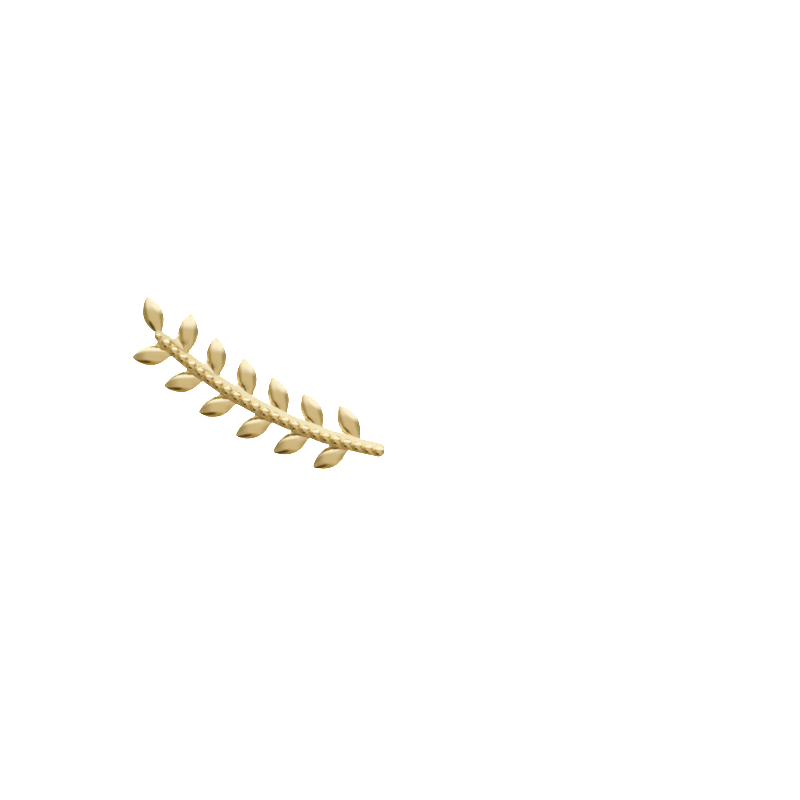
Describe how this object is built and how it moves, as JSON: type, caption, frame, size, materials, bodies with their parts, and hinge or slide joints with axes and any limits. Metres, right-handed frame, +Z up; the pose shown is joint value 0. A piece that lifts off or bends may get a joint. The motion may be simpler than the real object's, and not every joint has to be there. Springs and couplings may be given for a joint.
{
  "type": "leaf branch ear climber earring",
  "caption": "Curved gold earring shaped as a leafy branch, with a row of small beads along its stem and a bent ear wire behind it that hooks through the lobe.",
  "frame": {"origin": "centre of the bounding box at its bottom, on the surface that the earring lies on", "axes": "+Z up. X runs along the branch, with the end leaf towards -X and the blunt end of the stem towards +X. The ornament's front faces -Y and leans back by about 21 degrees, and the ear wire is behind it, towards +Y."},
  "size_m": [0.022, 0.009, 0.006],
  "materials": {
    "gold": "polished gold plate over brass, a little satin on the leaves"
  },
  "bodies": {
    "root": {"leaf_branch_with_ear_wire": "gold"}
  },
  "joints": []
}
